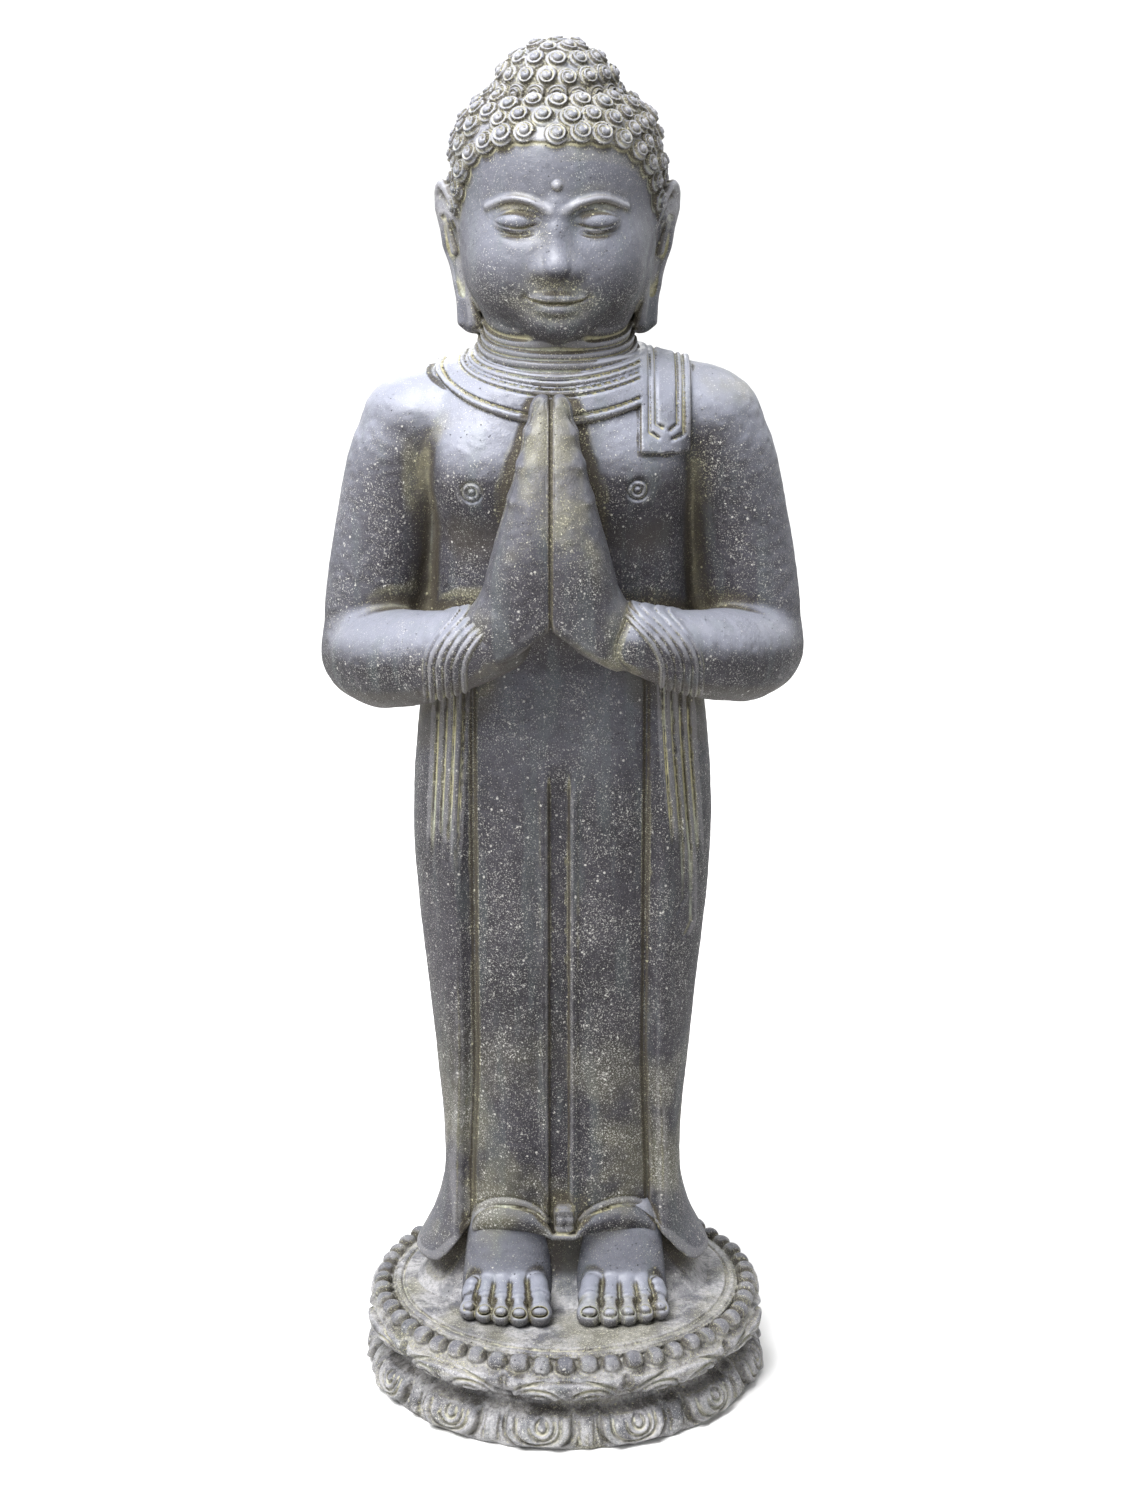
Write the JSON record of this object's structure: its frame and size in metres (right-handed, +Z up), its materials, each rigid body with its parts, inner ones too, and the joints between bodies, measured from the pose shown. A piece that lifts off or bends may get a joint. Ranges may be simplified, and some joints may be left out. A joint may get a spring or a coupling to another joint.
{
  "type": "garden statue",
  "caption": "Standing Buddha in dark cast stone, palms joined in greeting, in a long robe on a round lotus plinth.",
  "frame": {"origin": "centre of the plinth's underside, on the ground", "axes": "+Z up the statue, -Y out of its front, +X to the figure's own left"},
  "size_m": [0.3426, 0.298, 1],
  "materials": {
    "cast_stone": "rough",
    "mortar": "rough",
    "reinforcing_steel": "rusted"
  },
  "bodies": {
    "root": {"plinth": "cast_stone", "robed_body": "cast_stone", "head": "cast_stone", "praying_hands": "cast_stone", "left_foot": "cast_stone", "right_foot": "cast_stone", "plinth_mortar_bed": "mortar", "neck_mortar_bed": "mortar", "front_left_bar": "reinforcing_steel", "front_right_bar": "reinforcing_steel", "back_left_bar": "reinforcing_steel", "back_right_bar": "reinforcing_steel", "stirrup_1": "reinforcing_steel", "stirrup_2": "reinforcing_steel", "stirrup_3": "reinforcing_steel", "stirrup_4": "reinforcing_steel", "left_arm_bar": "reinforcing_steel", "right_arm_bar": "reinforcing_steel", "neck_dowel": "reinforcing_steel", "left_foot_dowel": "reinforcing_steel", "right_foot_dowel": "reinforcing_steel"}
  },
  "joints": []
}
